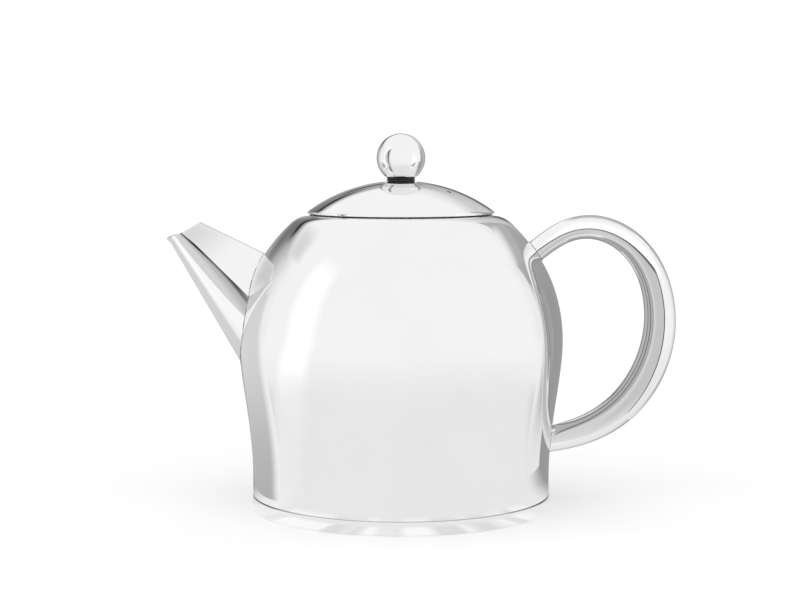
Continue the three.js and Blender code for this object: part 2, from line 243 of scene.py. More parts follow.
def cylinder(radius, start, end, segments=64):
    """A plain round cutter from start to end, in mm."""
    bm = bmesh.new()
    line = Vector(end) - Vector(start)
    place = Matrix.Translation((Vector(start) + Vector(end)) / 2 * MM)
    turn = line.to_track_quat("Z", "Y").to_matrix().to_4x4()
    bmesh.ops.create_cone(
        bm, cap_ends=True, segments=segments, radius1=radius * MM, radius2=radius * MM,
        depth=line.length * MM, matrix=place @ turn,
    )
    mesh = bpy.data.meshes.new("cutter")
    bm.to_mesh(mesh)
    bm.free()
    cutter = bpy.data.objects.new("cutter", mesh)
    bpy.context.scene.collection.objects.link(cutter)
    return cutter


# ---------------------------------------------------------------- curves


def arc(radius, centre_z, from_x, to_x, steps):
    """Points of a circle centred on the axis, from distance from_x to distance to_x."""
    start, end = math.acos(from_x / radius), math.acos(to_x / radius)
    angles = [start + (end - start) * i / steps for i in range(steps + 1)]
    return [(radius * math.cos(a), centre_z + radius * math.sin(a)) for a in angles]


def height_on_arc(radius, centre_z, x):
    return centre_z + math.sqrt(radius * radius - x * x)


def bezier(points, steps):
    """Points of a Bezier curve through 2-D control points."""
    order = len(points) - 1
    result = []
    for i in range(steps + 1):
        t = i / steps
        weights = [math.comb(order, k) * t**k * (1 - t) ** (order - k) for k in range(order + 1)]
        result.append(tuple(sum(w * p[a] for w, p in zip(weights, points)) for a in (0, 1)))
    return result


def body_wall(inset, end_r, steps):
    """The body's wall from its foot to the round top at end_r, moved in by inset."""
    foot, belly = FOOT_R - inset, BODY_R - inset
    barrel = bezier([(foot, FOOT_TOP_Z), (foot, 36), (belly, 56), (belly, BELLY_Z)], steps)
    return barrel + arc(belly, BELLY_Z, belly, end_r, steps)[1:]


def shoulder(inset, start_r, end_r, steps):
    """The bend from the round top to the flat shoulder, ending at end_r."""
    radius = BODY_R - inset
    start_z = height_on_arc(radius, BELLY_Z, start_r)
    flat_z = SHOULDER_Z - inset
    corner_r = start_r - (flat_z - start_z) * math.tan(math.acos(start_r / radius))
    return bezier([(start_r, start_z), (corner_r, flat_z), (end_r, flat_z)], steps)


OUTER_WALL = [(FOOT_R, 0)] + body_wall(0, SHOULDER_R, 60) + shoulder(0, SHOULDER_R, 38, 24)[1:]
WALL_R, WALL_Z = np.array(OUTER_WALL).T


def depth_outside(point):
    """How far a point lies outside the body's outer wall, measured straight out from the axis."""
    return math.hypot(point.x, point.y) - float(np.interp(point.z, WALL_Z, WALL_R))


def meet_body(line, inside, outside, sink):
    """The point of line(t) that lies sink below the outer wall, between t inside and t outside."""
    for _ in range(40):
        mid = (inside + outside) / 2
        if depth_outside(line(mid)) > -sink:
            outside = mid
        else:
            inside = mid
    return (inside + outside) / 2


def natural_spline(points, steps):
    """A smooth curve through 2-D points, evenly spaced, as a natural cubic spline over chord length."""
    p = np.array(points, float)
    chord = np.concatenate([[0], np.cumsum(np.hypot(*np.diff(p, axis=0).T))])
    n = len(p)
    h = np.diff(chord)
    system = np.eye(n)
    right = np.zeros((n, 2))
    for i in range(1, n - 1):
        system[i, i - 1], system[i, i], system[i, i + 1] = h[i - 1], 2 * (h[i - 1] + h[i]), h[i]
        right[i] = 6 * ((p[i + 1] - p[i]) / h[i] - (p[i] - p[i - 1]) / h[i - 1])
    bend = np.linalg.solve(system, right)

    def at(s):
        i = min(max(int(np.searchsorted(chord, s) - 1), 0), n - 2)
        a, b = (chord[i + 1] - s) / h[i], (s - chord[i]) / h[i]
        return a * p[i] + b * p[i + 1] + ((a**3 - a) * bend[i] + (b**3 - b) * bend[i + 1]) * h[i] ** 2 / 6

    fine = np.array([at(s) for s in np.linspace(0, chord[-1], 4000)])
    length = np.concatenate([[0], np.cumsum(np.hypot(*np.diff(fine, axis=0).T))])
    even = np.linspace(0, length[-1], steps + 1)
    return np.array([np.interp(even, length, fine[:, axis]) for axis in (0, 1)]).T


# ---------------------------------------------------------------- materials


class Graph:
    """A short way to add nodes to a material or world."""

    def __init__(self, owner):
        owner.use_nodes = True
        self.tree = owner.node_tree
        self.tree.nodes.clear()

    def add(self, kind, inputs=None, **settings):
        """A new node; an input is a number, a colour or another node's output."""
        node = self.tree.nodes.new(kind)
        for key, value in settings.items():
            setattr(node, key, value)
        for key, value in (inputs or {}).items():
            if isinstance(value, bpy.types.NodeSocket):
                self.tree.links.new(value, node.inputs[key])
            else:
                node.inputs[key].default_value = value
        return node

    def math(self, operation, a, b=0.0, c=0.0):
        return self.add("ShaderNodeMath", {0: a, 1: b, 2: c}, operation=operation).outputs[0]

    def product(self, a, b):
        return self.math("MULTIPLY", a, b)

    def ramp(self, value, low, high, to_low=0.0, to_high=1.0):
        """value from low to high becomes to_low to to_high, eased at both ends."""
        node = self.add(
            "ShaderNodeMapRange",
            {"Value": value, "From Min": low, "From Max": high, "To Min": to_low, "To Max": to_high},
            interpolation_type="SMOOTHSTEP",
        )
        return node.outputs["Result"]

    def stripe(self, value, middle, half, soft):
        """1 where value is within half of middle, else 0, with a soft edge."""
        off = self.math("ABSOLUTE", self.math("SUBTRACT", value, middle))
        return self.ramp(off, half - soft, half + soft, 1.0, 0.0)

    def blend(self, mask, level, other):
        """level where mask is 0 and other where it is 1."""
        mix = self.add("ShaderNodeMix", {"Factor": mask, "A": level, "B": other}, data_type="FLOAT")
        return mix.outputs["Result"]

    def tint(self, mask, colour, factor):
        """colour where mask is 0, and colour times factor where it is 1."""
        other = tuple(c * factor for c in colour)
        mix = self.add(
            "ShaderNodeMix", {"Factor": mask, "A": (*colour, 1.0), "B": (*other, 1.0)}, data_type="RGBA"
        )
        return mix.outputs["Result"]

    def noise(self, place, scale, detail=2.0, roughness=0.5):
        node = self.add(
            "ShaderNodeTexNoise", {"Vector": place, "Scale": scale, "Detail": detail, "Roughness": roughness}
        )
        return node.outputs[0]

    def bump(self, height, strength, distance):
        inputs = {"Height": height, "Strength": strength, "Distance": distance}
        return self.add("ShaderNodeBump", inputs).outputs[0]

    def object_place(self):
        """The place on the object, in metres."""
        return self.add("ShaderNodeTexCoord").outputs["Object"]

    def place_in_mm(self):
        scale = {0: self.object_place(), "Scale": 1 / MM}
        return self.add("ShaderNodeVectorMath", scale, operation="SCALE").outputs[0]

    def parts(self, vector):
        """The X, Y and Z of a vector."""
        return self.add("ShaderNodeSeparateXYZ", {0: vector}).outputs

    def surface(self, shader):
        self.add("ShaderNodeOutputMaterial", {"Surface": shader.outputs[0]})

    def principled(self, inputs):
        self.surface(self.add("ShaderNodeBsdfPrincipled", inputs))


def new_material(name):
    material = bpy.data.materials.new(name)
    return material, Graph(material)


def metal(name, colour, roughness, rings, scratches, anisotropic=0.0):
    """Steel with faint turning rings about the pot's axis, hairline scratches and handling marks.

    roughness is (least, most), and rings and scratches are bump strengths.
    """
    material, graph = new_material(name)
    place = graph.object_place()
    x, y, z = graph.parts(place)
    reach = graph.math("SQRT", graph.math("ADD", graph.product(x, x), graph.product(y, y)))
    around = graph.math("ARCTAN2", y, x)
    # The turning rings vary quickly along the profile and slowly round the axis.
    ring_place = graph.add(
        "ShaderNodeCombineXYZ",
        {0: graph.product(reach, 60.0), 1: graph.product(around, 0.25), 2: graph.product(z, 60.0)},
    ).outputs[0]
    ring_noise = graph.noise(ring_place, 28.0, 4.0, 0.6)
    marks = graph.noise(place, 38.0, 5.0, 0.55)
    # The hairlines are one noise stretched along a slanting direction.
    hair_place = graph.add(
        "ShaderNodeMapping", {0: place, "Rotation": (0.5, 0.3, 0.9), "Scale": (900.0, 40.0, 900.0)}
    ).outputs[0]
    hairs = graph.noise(hair_place, 1.0, 3.0)
    height = graph.math("ADD", graph.product(ring_noise, rings), graph.product(hairs, scratches))
    graph.principled({
        "Base Color": graph.tint(graph.ramp(marks, 0.4, 0.75), colour, 0.975),
        "Metallic": 1.0,
        "Roughness": graph.ramp(marks, 0.35, 0.7, *roughness),
        "Normal": graph.bump(height, 1.0, 0.00002),
        "Anisotropic": anisotropic,
    })
    return material


def rubber(name, colour):
    """Matte moulded silicone with a fine grain."""
    material, graph = new_material(name)
    place = graph.object_place()
    grain = graph.noise(place, 1800.0, 3.0)
    cloud = graph.noise(place, 160.0)
    graph.principled({
        "Base Color": graph.tint(cloud, colour, 1.7),
        "Roughness": graph.ramp(cloud, 0.3, 0.7, 0.42, 0.58),
        "Normal": graph.bump(grain, 0.25, 0.00005),
    })
    return material


def weld_metal(name, colour, roughness):
    """The rippled, duller surface of a dressed weld or a punched edge."""
    material, graph = new_material(name)
    ripple = graph.noise(graph.object_place(), 900.0, 4.0)
    graph.principled({
        "Base Color": (*colour, 1.0),
        "Metallic": 1.0,
        "Roughness": graph.ramp(ripple, 0.3, 0.7, *roughness),
        "Normal": graph.bump(ripple, 0.8, 0.0003),
    })
    return material


POLISHED = metal("polished_steel", (0.866, 0.866, 0.866), (0.015, 0.06), 0.10, 0.05)
SATIN = metal("satin_steel", (0.74, 0.745, 0.75), (0.24, 0.36), 1.6, 0.8, anisotropic=0.35)
SILICONE = rubber("black_silicone", (0.022, 0.022, 0.024))
# The weld beads' own darker finish; the spout's ridge flat also wears it, as a painted dark reflection line.
WELD_AND_PAINTED_RIDGE_LINE = weld_metal("weld", (0.28, 0.28, 0.28), (0.28, 0.45))
PUNCHED = weld_metal("punched_edge", (0.10, 0.10, 0.10), (0.5, 0.7))


# ---------------------------------------------------------------- pot


def outer_shell():
    hole_r = SEAT_R + WALL + GAP
    joggle_r = BAND_R - WALL - GAP
    low_z = PLATE_T + GAP
    joggle_z = BAND_H + GAP
    outside = (
        [(joggle_r, low_z), (joggle_r, joggle_z), (FOOT_R, joggle_z + 0.15, 0.12)]
        + body_wall(0, SHOULDER_R, 64)
        + shoulder(0, SHOULDER_R, hole_r, 20)[1:]
    )
    inside = (
        [(joggle_r - WALL, low_z), (joggle_r - WALL, joggle_z + 0.4), (FOOT_R - WALL, joggle_z + 0.7)]
        + body_wall(WALL, SHOULDER_R - WALL, 30)
        + shoulder(WALL, SHOULDER_R - WALL, hole_r, 10)[1:]
    )
    shell = turned("outer_wall", outside + inside[::-1], POLISHED, FINE_ROUND)
    duct_z = (DUCT_LOW_Z + DUCT_TOP_Z) / 2
    cut(shell, cylinder(DUCT_R + GAP, (-80, 0, duct_z), (-50, 0, duct_z)))
    stand_for(shell, "outer_shell")


def base_cap():
    groove_in, groove_out, groove_depth = GROOVE
    band_in = BAND_R - WALL
    profile = [
        (0, 0),
        (groove_in, 0, 0.2),
        (groove_in + 0.4, groove_depth, 0.2),
        (groove_out - 0.4, groove_depth, 0.2),
        (groove_out, 0, 0.2),
        (BAND_R, 0, 1.2),
        (BAND_R, BAND_H, 0.25),
        (band_in, BAND_H, 0.2),
        (band_in, PLATE_T, 0.3),
        (0, PLATE_T),
    ]
    cap = turned("base", profile, POLISHED, FINE_ROUND)
    stand_for(cap, "base_cap")


def inner_vessel():
    top_r = NECK_R + WALL
    corner_r = FOOT_TOP_Z - VESSEL_FLOOR_Z
    flat_r = FOOT_R - VESSEL_INSET - corner_r

    def corner(inset):
        wall_r = FOOT_R - inset
        floor_z = VESSEL_FLOOR_Z + inset - VESSEL_INSET
        angles = [math.radians(-90 + 6 * k) for k in range(15)]
        return [
            (flat_r + (wall_r - flat_r) * math.cos(a), FOOT_TOP_Z + (FOOT_TOP_Z - floor_z) * math.sin(a))
            for a in angles
        ]

    outside = (
        [(0, VESSEL_FLOOR_Z)]
        + corner(VESSEL_INSET)
        + body_wall(VESSEL_INSET, top_r, 24)
        + [(top_r, SEAT_Z - WALL, 0.3), (SEAT_R + WALL, SEAT_Z - WALL, 0.3), (SEAT_R + WALL, SHOULDER_Z, 0.3)]
    )
    inside = (
        [(0, VESSEL_FLOOR_Z + WALL)]
        + corner(VESSEL_INSET + WALL)
        + body_wall(VESSEL_INSET + WALL, NECK_R, 40)
        + [(NECK_R, SEAT_Z, 0.4), (SEAT_R, SEAT_Z, 0.3), (SEAT_R, SHOULDER_Z, 0.3)]
    )
    vessel = turned("inner_wall", outside + inside[::-1], SATIN)
    duct_z = (DUCT_LOW_Z + DUCT_TOP_Z) / 2
    cut(vessel, cylinder(DUCT_R + GAP, (-80, 0, duct_z), (-45, 0, duct_z)))
    stand_for(vessel, "inner_vessel")


def spout_duct():
    low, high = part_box("spout_duct")
    edge = 0.2
    bore = DUCT_R - WALL
    profile = [
        (bore, low.x / MM, edge),
        (DUCT_R, low.x / MM, edge),
        (DUCT_R, high.x / MM, edge),
        (bore, high.x / MM, edge),
    ]
    duct = turned("duct", profile, SATIN, 96)
    duct.data.transform(Matrix.Rotation(math.pi / 2, 4, "Y"))
    duct.data.transform(Matrix.Translation((0, 0, (low.z + high.z) / 2)))
    stand_for(duct, "spout_duct")


def weld_bead(outline, radius):
    """A thin rippled ring of weld along an outline of points on the body, as vertices and faces."""
    sides = 8
    count = len(outline)
    rings = []
    for i, p in enumerate(outline):
        along = (outline[(i + 1) % count] - outline[i - 1]).normalized()
        out = Vector((p.x, p.y, 0)).normalized()
        across = along.cross(out).normalized()
        out = across.cross(along)
        # Two waves that never quite repeat make the bead's ripples uneven.
        ripple = 1 + 0.16 * math.sin(i * 2.1) + 0.1 * math.sin(i * 0.77 + 1)
        ring = []
        for k in range(sides):
            angle = 2 * math.pi * k / sides
            arm = across * math.cos(angle) + out * math.sin(angle)
            ring.append(p + arm * radius * ripple)
        rings.append(ring)
    return ring_skin(rings)


def add_island(piece, vertices, faces, material):
    """Adds a closed skin of another material, in the piece's second material slot."""
    extra = make_piece("extra", vertices, faces, material)
    bm = bmesh.new()
    bm.from_mesh(piece.data)
    before = len(bm.faces)
    bm.from_mesh(extra.data)
    bm.faces.ensure_lookup_table()
    for face in bm.faces[before:]:
        face.material_index = 1
    bm.to_mesh(piece.data)
    bm.free()
    piece.data.materials.append(material)
    bpy.data.objects.remove(extra)


RIDGE_FLAT = 0.3  # half width of the narrow flat along the spout's ridge, which wears the weld's finish as a painted dark reflection line


def spout_ring(section, side_steps=10, round_steps=44):
    """One cross-section of the spout: down one facet, round the keel and up the other facet."""
    crease_angle = math.radians(25)
    top = Vector((section["ridge"][0], 0, section["ridge"][1]))
    mid = Vector((section["crease"][0], 0, section["crease"][1]))
    bottom = Vector((section["keel"][0], 0, section["keel"][1]))
    side = mid + Vector((0, section["half"], 0))
    centre = mid.lerp(bottom, math.sin(crease_angle) / (1 + math.sin(crease_angle)))
    down = bottom - centre
    half_width = section["half"] / math.cos(crease_angle)
    # The narrow flat next to the ridge, a share of each facet, later takes the painted dark reflection line.
    ridge_flat_share = RIDGE_FLAT / (side - top).length
    ring = [top, top.lerp(side, ridge_flat_share)] + [top.lerp(side, i / side_steps) for i in range(1, side_steps)]
    for i in range(round_steps + 1):
        angle = -crease_angle + (math.pi + 2 * crease_angle) * i / round_steps
        point = centre + down * math.sin(angle)
        point.y = half_width * math.cos(angle)
        ring.append(point)
    side.y = -section["half"]
    return ring + [side.lerp(top, i / side_steps) for i in range(1, side_steps)] + [side.lerp(top, 1 - ridge_flat_share)]


def inset_ring(ring, distance):
    """A ring of points moved in by distance, square to its own edge and in its own plane."""
    centre = sum(ring, Vector()) / len(ring)
    axis = Vector()
    for i, p in enumerate(ring):
        axis += (p - centre).cross(ring[(i + 1) % len(ring)] - centre)
    axis.normalize()
    result = []
    for i, p in enumerate(ring):
        along = ring[(i + 1) % len(ring)] - ring[i - 1]
        result.append(p + axis.cross(along).normalized() * distance)
    return result


def spout():
    root, bend, lip = (spout_ring(s) for s in (SPOUT_ROOT, SPOUT_BEND, SPOUT_LIP))

    def walls(inset):
        """The spout's foot, and rings from it to the lip, of its outer (inset 0) or inner face."""
        start, turn, end = (inset_ring(r, inset) for r in (root, bend, lip))
        feet = []
        for a, b in zip(start, turn):
            reach = meet_body(lambda t: b.lerp(a, t), 1.6, 0.0, SINK)
            feet.append(b.lerp(a, reach))
        cone_steps, lip_steps = 14, 5
        cone = [[a.lerp(b, k / cone_steps) for a, b in zip(feet, turn)] for k in range(cone_steps + 1)]
        lip_rings = [[a.lerp(b, k / lip_steps) for a, b in zip(turn, end)] for k in range(1, lip_steps + 1)]
        return feet, cone + lip_rings

    feet, outside = walls(0)
    _, inside = walls(WALL)
    forward = (sum(lip, Vector()) - sum(bend, Vector())).normalized()
    rim = [(a + b) / 2 + forward * 0.2 for a, b in zip(outside[-1], inside[-1])]
    vertices, faces = ring_skin(outside + [rim] + inside[::-1])
    piece = make_piece("spout", vertices, faces, POLISHED, 12)
    # The faces on both sides of the ridge are its dressed seam, in the weld's slot.
    count = len(feet)
    for face in piece.data.polygons:
        if face.index % count in (0, count - 1):
            # The faces on both sides of the ridge are its narrow flat, in the weld's slot: a painted dark
            # reflection line along the ridge.
            face.material_index = 1
    add_island(piece, *weld_bead(feet, WELD_R), WELD_AND_PAINTED_RIDGE_LINE)
    stand_for(piece, "spout_shell")


def handle_radius(t):
    """The handle's radius at fraction t of its length from the top; it swells most at the grip."""
    swell = math.sin(math.pi * min(t, 1.0) ** 1.4) ** 1.5
    return HANDLE_UPPER_R + (HANDLE_LOWER_R - HANDLE_UPPER_R) * t + HANDLE_SWELL * swell


def handle():
    steps = 600
    line = natural_spline(HANDLE_LINE, steps)
    across = Vector((0, 1, 0))

    def point_at(t, angle, thinner=0.0):
        """A point of the tube at fraction t of its length and at an angle round it."""
        s = t * steps
        i = min(int(s), steps - 1)
        a, b = line[i], line[i + 1]
        x, z = a + (b - a) * (s - i)
        ahead, behind = line[min(i + 3, steps)], line[max(i - 2, 0)]
        along = Vector((ahead[0] - behind[0], 0, ahead[1] - behind[1])).normalized()
        inward = across.cross(along)
        radius = handle_radius(t) - thinner
        return Vector((x, 0, z)) + (inward * math.cos(angle) + across * math.sin(angle)) * radius

    sides, rows = 48, 150
    angles = [2 * math.pi * j / sides for j in range(sides)]

    def wall(thinner):
        """Rings of the tube; the line along it at each angle starts and ends in the body's wall."""
        spans = []
        for angle in angles:

            def along_wall(t):
                return point_at(t, angle, thinner)

            spans.append((meet_body(along_wall, 0.0, 0.3, SINK), meet_body(along_wall, 1.0, 0.7, SINK)))
        return [
            [point_at(s + (e - s) * i / rows, a, thinner) for a, (s, e) in zip(angles, spans)]
            for i in range(rows + 1)
        ]

    outside = wall(0)
    inside = wall(HANDLE_WALL)
    vertices, faces = ring_skin(outside + inside[::-1])
    piece = make_piece("handle", vertices, faces, POLISHED, 40)
    for outline in (outside[0], outside[-1]):
        add_island(piece, *weld_bead(outline, WELD_R), WELD_AND_PAINTED_RIDGE_LINE)
    stand_for(piece, "handle_tube")


# ---------------------------------------------------------------- infuser


def infuser_rim():
    inner = RIM_R - WALL
    profile = [
        (inner, RIM_LOW_Z, 0.2),
        (RIM_R, RIM_LOW_Z, 0.2),
        (RIM_R, FLANGE_TOP_Z - WALL, 0.4),
        (FLANGE_R, FLANGE_TOP_Z - WALL, 0.3),
        (FLANGE_R, FLANGE_TOP_Z, 0.3),
        (inner, FLANGE_TOP_Z, 0.7),
    ]
    stand_for(turned("infuser_collar", profile, SATIN), "infuser_rim")


def infuser_cap():
    inner = RIM_R - WALL
    profile = [
        (0, CAP_LOW_Z),
        (RIM_R, CAP_LOW_Z, 1.4),
        (RIM_R, CAP_TOP_Z, 0.3),
        (inner, CAP_TOP_Z, 0.3),
        (inner, CAP_LOW_Z + WALL, 0.8),
        (0, CAP_LOW_Z + WALL),
    ]
    stand_for(turned("infuser_bottom", profile, SATIN), "infuser_cap")


HOLE_COLUMNS = 72
HOLE_ROWS = 22
HOLE_R = 0.75
HOLE_MARGIN = 0.5  # height of the plain sheet between the holes and the collar or the cap
# Corners and side middles of a square, in order round it.
SQUARE = ((-1, -1), (0, -1), (1, -1), (1, 0), (1, 1), (0, 1), (-1, 1), (-1, 0))


def infuser_wall():
    """A perforated sheet rolled into a cup: each cell is a square of sheet with a round hole."""
    edge_low, edge_high = CAP_TOP_Z + HOLE_MARGIN, RIM_LOW_Z - HOLE_MARGIN
    cell_h = (edge_high - edge_low) / HOLE_ROWS
    cell_a = 2 * math.pi / HOLE_COLUMNS
    radii = (CUP_R, CUP_R - CUP_WALL)
    vertices, faces, index = [], [], {}

    def vertex(radius, angle, z):
        vertices.append((radius * math.cos(angle), radius * math.sin(angle), z))
        return len(vertices) - 1

    def shared(radius, angle, z):
        """The vertex of a cell's border, the same one for all cells that meet there."""
        key = (radius, round(angle / cell_a * 2) % (2 * HOLE_COLUMNS), round(z, 3))
        if key not in index:
            index[key] = vertex(radius, angle, z)
        return index[key]

    def border(radius, mid_a, mid_z):
        return [shared(radius, mid_a + u * cell_a / 2, mid_z + v * cell_h / 2) for u, v in SQUARE]

    def hole(radius, mid_a, mid_z):
        turns = [math.atan2(v, u) for u, v in SQUARE]
        places = [(mid_a + HOLE_R * math.cos(t) / CUP_R, mid_z + HOLE_R * math.sin(t)) for t in turns]
        return [vertex(radius, *place) for place in places]

    for row in range(HOLE_ROWS):
        for column in range(HOLE_COLUMNS):
            cell = ((column + 0.5) * cell_a, edge_low + (row + 0.5) * cell_h)
            (outer, hole_out), (inner, hole_in) = ((border(r, *cell), hole(r, *cell)) for r in radii)
            for k in range(len(SQUARE)):
                n = (k + 1) % len(SQUARE)
                faces.append((outer[k], outer[n], hole_out[n], hole_out[k]))
                faces.append((inner[n], inner[k], hole_in[k], hole_in[n]))
                faces.append((hole_out[k], hole_out[n], hole_in[n], hole_in[k]))

    # Plain bands below and above the holes close the sheet's edges.
    for low, high, at_bottom in ((CUP_LOW_Z, edge_low, True), (edge_high, CUP_TOP_Z, False)):
        for k in range(2 * HOLE_COLUMNS):
            ends = (k * cell_a / 2, (k + 1) * cell_a / 2)
            outer, inner = ([shared(r, a, z) for z in (low, high) for a in ends] for r in radii)
            faces.append((outer[0], outer[1], outer[3], outer[2]))
            faces.append((inner[1], inner[0], inner[2], inner[3]))
            if at_bottom:
                faces.append((inner[0], inner[1], outer[1], outer[0]))
            else:
                faces.append((outer[2], outer[3], inner[3], inner[2]))
    piece = make_piece("infuser_mesh", vertices, faces, SATIN, 40)
    stand_for(piece, "infuser_cup")


# ---------------------------------------------------------------- lid


def lid_dome():
    under_r = LID_R - WALL
    flat_z = height_on_arc(LID_R, LID_CENTRE_Z, LID_FLAT_R)
    hole_r = SCREW_R + GAP
    lip_r = LID_EDGE_R - 1.2
    edge_z = LID_LOW_Z
    tip = [(LID_EDGE_R, edge_z, 0.35), (LID_EDGE_R, edge_z + 0.95, 0.4)]
    outer = arc(LID_R, LID_CENTRE_Z, LID_EDGE_R - 0.55, LID_FLAT_R + 0.2, 60)
    profile = (
        [(hole_r, flat_z - WALL), (LID_FLAT_R, flat_z - WALL)]
        + arc(under_r, LID_CENTRE_Z, LID_FLAT_R + 1, lip_r, 30)
        + [(lip_r, edge_z, 0.2)]
        + tip
        + outer
        + [(LID_FLAT_R - 0.6, flat_z), (hole_r, flat_z)]
    )
    dome = turned("lid", profile, POLISHED, FINE_ROUND)
    reach, degrees = VENT_PLACE
    x, y = reach * math.cos(math.radians(degrees)), reach * math.sin(math.radians(degrees))
    cut(dome, cylinder(VENT_R, (x, y, 125), (x, y, 145), 32), PUNCHED)
    stand_for(dome, "lid_dome")


def lid_ring():
    outer_face = LID_R - WALL - GAP
    inner_face = outer_face - WALL
    inner = RING_R - WALL
    profile = (
        [(inner, RING_LOW_Z, 0.25), (RING_R, RING_LOW_Z, 0.25)]
        + arc(inner_face, LID_CENTRE_Z, RING_R, RING_FLANGE_R - 0.3, 8)
        + arc(outer_face, LID_CENTRE_Z, RING_FLANGE_R, inner, 10)
    )
    stand_for(turned("lid_locating_ring", profile, SATIN), "lid_ring")


def knob():
    flat_r = math.sqrt(BALL_R**2 - (BALL_Z - BALL_FLAT_Z) ** 2)
    start = math.atan2(BALL_FLAT_Z - BALL_Z, flat_r)
    steps = 72
    angles = [start + (math.pi / 2 - start) * i / steps for i in range(steps)]
    bore_r, bore_z = SCREW_R + GAP, SCREW_TOP_Z + 2 * GAP
    profile = (
        [(0, bore_z), (bore_r, bore_z), (bore_r, BALL_FLAT_Z)]
        + [(BALL_R * math.cos(a), BALL_Z + BALL_R * math.sin(a)) for a in angles]
        + [(0, BALL_TOP_Z)]
    )
    stand_for(turned("ball", profile, POLISHED, 144), "knob_ball")


def knob_washer():
    """Two rounded beads of silicone with a groove between them."""
    low, high = LID_TOP_Z + 0.02, BALL_FLAT_Z - 0.02
    bead = (high - low) / 4
    bulge = 1.0
    profile = [(SCREW_R + GAP, low)]
    for middle in (low + bead, low + 3 * bead):
        for k in range(13):
            angle = math.radians(-90 + 15 * k)
            profile.append((KNOB_WASHER_R - bulge + bulge * math.cos(angle), middle + bead * math.sin(angle)))
    profile.append((SCREW_R + GAP, high))
    stand_for(turned("knob_gasket", profile, SILICONE, 96), "knob_washer")


def screw():
    head_top = STEEL_WASHER_LOW_Z - GAP
    profile = [
        (0, SCREW_LOW_Z),
        (SCREW_HEAD_R, SCREW_LOW_Z, 1.4),
        (SCREW_HEAD_R, head_top, 0.15),
        (SCREW_R, head_top),
        (SCREW_R, SCREW_TOP_Z, 0.4),
        (0, SCREW_TOP_Z),
    ]
    piece = turned("screw", profile, SATIN, 64)
    slot_r, slot_reach, slot_depth = 0.45, 2.1, 0.3
    centre = Vector((0, 0, SCREW_LOW_Z + slot_depth))
    for arm in (Vector((slot_reach, 0, 0)), Vector((0, slot_reach, 0))):
        cut(piece, cylinder(slot_r, centre - arm, centre + arm, 12))
    stand_for(piece, "knob_screw")


def steel_washer():
    bore = SCREW_R + GAP
    profile = [
        (bore, STEEL_WASHER_LOW_Z, 0.1),
        (STEEL_WASHER_R, STEEL_WASHER_LOW_Z, 0.15),
        (STEEL_WASHER_R, STEEL_WASHER_TOP_Z, 0.15),
        (bore, STEEL_WASHER_TOP_Z, 0.1),
    ]
    stand_for(turned("washer", profile, SATIN, 96), "steel_washer")


# ---------------------------------------------------------------- studio


# What the polished steel sees, as soft zones of a white light tent. Each zone is its middle direction,
# half size and softness, in degrees round (0 to the camera, + to the right) and up, and its brightness.
TENT_LEVEL = 1.04
TENT_ZONES = [
    {"round": (180, 55, 22), "up": (-6, 37, 4), "level": 0.42},  # dim corners behind the pot
    {"round": (152, 20, 15), "up": (27, 12, 10), "level": 0.68},  # the same, lighter, to the right
    {"round": (-156, 13, 8), "up": (20, 8, 5), "level": 0.20},  # deep grey over the backdrop's left
    {"round": (-156, 13, 5), "up": (26, 1.8, 1), "level": 0.04},  # dark seam above it
    {"round": (-176, 7, 2), "up": (20, 2, 1), "level": 0.10},  # dark seam over the backdrop
    {"round": (171, 6, 2.5), "up": (9, 7, 3), "level": 0.16},  # dark gap at the backdrop's side
    {"round": (180, 14.5, 1), "up": (-30, 38, 2), "level": 1.16},  # white backdrop
    {"round": (-75, 12, 5), "up": (15, 30, 8), "level": 1.18},  # tall soft box to the left
]
TABLE_NEAR = (170, 0.93)  # reach from the axis in mm, and brightness
TABLE_FAR = (1000, TENT_LEVEL)
TABLE_SHADE = 0.38  # brightness of the table close behind the pot
TABLE_ZONES = [
    {"round": (180, 55, 22), "level": 0.44},  # unlit table behind the pot
    {"round": (180, 14.5, 1), "level": 1.10},  # foot of the white backdrop
]
TABLE_Z = -0.2  # the floor and the table lie just under the pot
TABLE_HALF = 6000  # half their width, in mm


def zone_mask(graph, angle, zone):
    """1 inside a zone's angles and 0 outside them, with its soft edge."""
    middle, half, soft = zone
    off = graph.math("ABSOLUTE", graph.math("WRAP", graph.math("SUBTRACT", angle, middle), 180.0, -180.0))
    return graph.ramp(off, half - soft, half + soft, 1.0, 0.0)


def zone_level(graph, place, level, zones):
    """Brightness in the direction of a vector, from a base level and its zones."""
    x, y, z = graph.parts(place)
    degree = math.degrees(1)
    angles = {
        "round": graph.product(graph.math("ARCTAN2", x, graph.product(y, -1.0)), degree),
        "up": graph.product(graph.math("ARCSINE", z), degree),
    }
    for zone in zones:
        mask = 1.0
        for key in ("round", "up"):
            if key in zone:
                mask = graph.product(mask, zone_mask(graph, angles[key], zone[key]))
        level = graph.blend(mask, level, zone["level"])
    return level


def tent():
    """A white light tent round the pot."""
    world = bpy.data.worlds.new("tent")
    bpy.context.scene.world = world
    graph = Graph(world)
    place = graph.add("ShaderNodeTexCoord").outputs["Generated"]
    level = zone_level(graph, place, TENT_LEVEL, TENT_ZONES)
    light = graph.add("ShaderNodeBackground", {"Color": (1.0, 1.0, 1.0, 1.0), "Strength": level})
    graph.add("ShaderNodeOutputWorld", {"Surface": light.outputs[0]})
    bpy.context.scene.view_settings.view_transform = "Standard"


def sheet(name, corners, faces=((0, 1, 2, 3),)):
    """A thin piece of the studio, from corners in mm."""
    mesh = bpy.data.meshes.new(name)
    mesh.from_pydata([tuple(c * MM for c in corner) for corner in corners], [], faces)
    piece = bpy.data.objects.new(name, mesh)
    bpy.context.scene.collection.objects.link(piece)
    return piece


